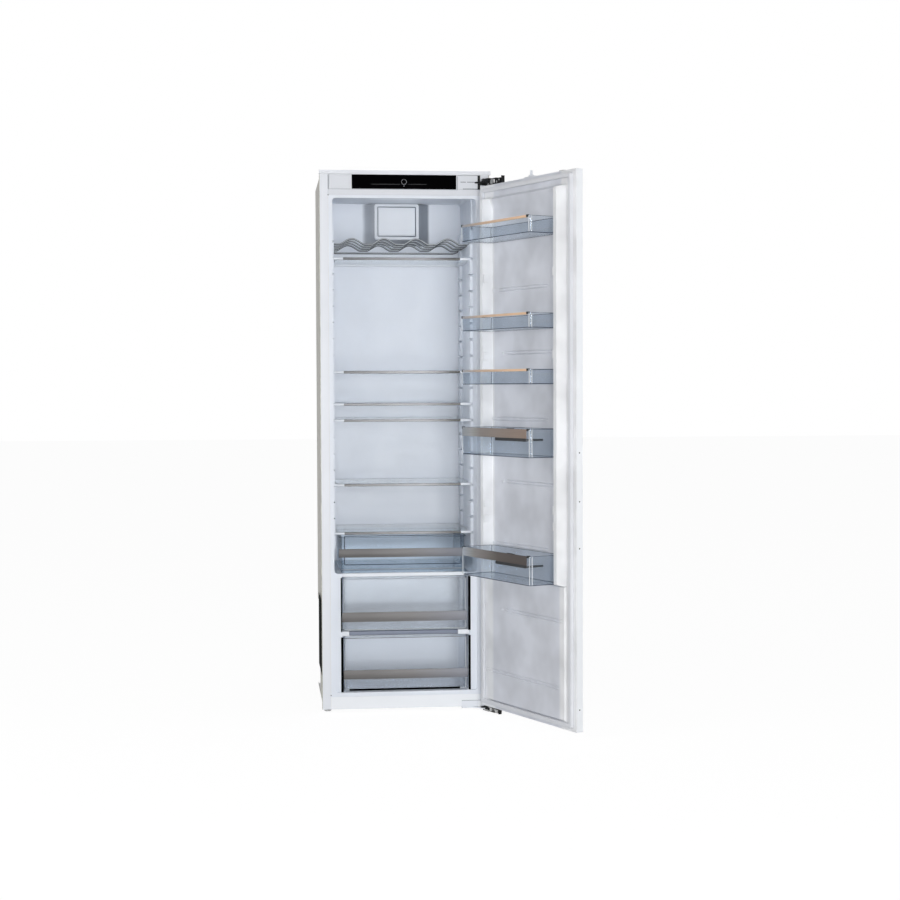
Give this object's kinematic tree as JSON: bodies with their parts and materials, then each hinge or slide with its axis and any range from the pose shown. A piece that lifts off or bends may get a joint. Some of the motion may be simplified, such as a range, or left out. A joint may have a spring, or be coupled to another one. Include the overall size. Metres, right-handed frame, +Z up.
{
  "type": "built-in refrigerator",
  "caption": "Tall integrated larder refrigerator for a furniture niche, with its door open: glass shelves, bottle rack, clear drawers, door bins and a control strip.",
  "frame": {"origin": "centre of the base tray's underside; the feet reach 10 mm below it", "axes": "+X to the right seen from the front, +Y from the front to the back, +Z up; the cabinet's front looks along -Y"},
  "size_m": [0.7702, 1.0332, 1.772],
  "materials": {
    "white_steel": "white powder coat, satin",
    "white_plastic": "moulded ABS, satin",
    "liner_plastic": "vacuum-formed polystyrene, satin",
    "foam": null,
    "black_glass": "black printed behind, polished",
    "black_plastic": "moulded, satin",
    "clear_glass": "toughened float glass, polished",
    "clear_plastic": "clear moulded polystyrene, polished",
    "brushed_steel": "stainless, brushed lengthways",
    "zinc_steel": "zinc plated",
    "chromed_wire": "bright chrome",
    "black_steel": "black enamel",
    "compressor_shell": null,
    "seal": "extruded magnetic seal, matt",
    "lens": "opal, satin"
  },
  "bodies": {
    "cabinet": {"side_panel_left": "white_steel", "side_panel_right": "white_steel", "top_panel": "white_steel", "top_trim": "white_steel", "base_tray": "white_steel", "cabinet_liner": "liner_plastic", "cabinet_foam": "foam", "back_panel": "zinc_steel", "condenser_coil": "black_steel", "compressor": "compressor_shell", "control_fascia": "white_plastic", "control_glass": "black_glass", "hinge_cover": "white_plastic", "fan_cover": "white_plastic", "fan_motor": "black_plastic", "ceiling_lamp": "lens", "bottle_rack": "chromed_wire", "divider_upper": "white_plastic", "divider_lower": "white_plastic", "hinge_plate_top": "zinc_steel", "hinge_plate_bottom": "zinc_steel"},
    "impeller": {"fan_rotor": "black_plastic"},
    "left_foot": {"foot_left": "black_plastic"},
    "right_foot": {"foot_right": "black_plastic"},
    "shelf_1": {"shelf_1_frame": "white_plastic", "shelf_1_glass": "clear_glass"},
    "shelf_2": {"shelf_2_frame": "white_plastic", "shelf_2_glass": "clear_glass"},
    "shelf_3": {"shelf_3_frame": "white_plastic", "shelf_3_glass": "clear_glass"},
    "shelf_4": {"shelf_4_frame": "white_plastic", "shelf_4_glass": "clear_glass"},
    "shelf_5": {"shelf_5_frame": "white_plastic", "shelf_5_glass": "clear_glass"},
    "shelf_6": {"shelf_6_frame": "white_plastic", "shelf_6_glass": "clear_glass"},
    "drawer_1": {"drawer_1_tray": "clear_plastic", "drawer_1_handle": "brushed_steel"},
    "drawer_2": {"drawer_2_tray": "clear_plastic", "drawer_2_handle": "brushed_steel"},
    "drawer_3": {"drawer_3_tray": "clear_plastic", "drawer_3_handle": "brushed_steel"},
    "door": {"door_panel": "white_steel", "door_liner": "liner_plastic", "door_foam": "foam", "door_gasket": "seal", "door_adjuster": "white_plastic", "bin_1": "clear_plastic", "bin_2": "clear_plastic", "bin_3": "clear_plastic", "bin_4": "clear_plastic", "bin_5": "clear_plastic", "bin_4_band": "brushed_steel", "bin_5_band": "brushed_steel", "hinge_bracket_top": "black_steel", "hinge_bracket_bottom": "black_steel"},
    "top_link": {"hinge_arm_top": "zinc_steel"},
    "bottom_link": {"hinge_arm_bottom": "zinc_steel"},
    "upper_holder": {"bottle_holder_1": "black_plastic"},
    "lower_holder": {"bottle_holder_2": "black_plastic"}
  },
  "joints": [
    {"name": "door_hinge", "type": "hinge", "parent": "cabinet", "child": "door", "pos_m": [0.264, -0.2794, 0.85], "axis": [0, 0, 1], "range_deg": [-113.84, 0]},
    {"name": "top_link_turn", "type": "hinge", "parent": "cabinet", "child": "top_link", "pos_m": [0.264, -0.2794, 1.709], "axis": [0, 0, 1], "range_deg": [-56.92, 0]},
    {"name": "bottom_link_turn", "type": "hinge", "parent": "cabinet", "child": "bottom_link", "pos_m": [0.264, -0.2794, 0], "axis": [0, 0, 1], "range_deg": [-56.92, 0]},
    {"name": "shelf_1_slide", "type": "slide", "parent": "cabinet", "child": "shelf_1", "axis": [0, -1, 0], "range_m": [0, 0.18]},
    {"name": "shelf_2_slide", "type": "slide", "parent": "cabinet", "child": "shelf_2", "axis": [0, -1, 0], "range_m": [0, 0.18]},
    {"name": "shelf_3_slide", "type": "slide", "parent": "cabinet", "child": "shelf_3", "axis": [0, -1, 0], "range_m": [0, 0.18]},
    {"name": "shelf_4_slide", "type": "slide", "parent": "cabinet", "child": "shelf_4", "axis": [0, -1, 0], "range_m": [0, 0.18]},
    {"name": "shelf_5_slide", "type": "slide", "parent": "cabinet", "child": "shelf_5", "axis": [0, -1, 0], "range_m": [0, 0.18]},
    {"name": "shelf_6_slide", "type": "slide", "parent": "cabinet", "child": "shelf_6", "axis": [0, -1, 0], "range_m": [0, 0.18]},
    {"name": "drawer_1_slide", "type": "slide", "parent": "cabinet", "child": "drawer_1", "axis": [0, -1, 0], "range_m": [0, 0.2]},
    {"name": "drawer_2_slide", "type": "slide", "parent": "cabinet", "child": "drawer_2", "axis": [0, -1, 0], "range_m": [0, 0.18]},
    {"name": "drawer_3_slide", "type": "slide", "parent": "cabinet", "child": "drawer_3", "axis": [0, -1, 0], "range_m": [0, 0.18]},
    {"name": "left_foot_screw", "type": "slide", "parent": "cabinet", "child": "left_foot", "axis": [0, 0, -1], "range_m": [0, 0.02]},
    {"name": "right_foot_screw", "type": "slide", "parent": "cabinet", "child": "right_foot", "axis": [0, 0, -1], "range_m": [0, 0.02]},
    {"name": "fan_spin", "type": "hinge", "parent": "cabinet", "child": "impeller", "pos_m": [0.0085, 0.19015, 1.6365], "axis": [0, 1, 0], "continuous": true},
    {"name": "upper_holder_slide", "type": "slide", "parent": "door", "child": "upper_holder", "axis": [0.4042, -0.9147, 0], "range_m": [-0.18, 0]},
    {"name": "lower_holder_slide", "type": "slide", "parent": "door", "child": "lower_holder", "axis": [0.4042, -0.9147, 0], "range_m": [-0.18, 0]}
  ],
  "couplings": [
    {"joint": "top_link_turn", "follows": "door_hinge", "ratio": 0.5},
    {"joint": "bottom_link_turn", "follows": "door_hinge", "ratio": 0.5}
  ]
}
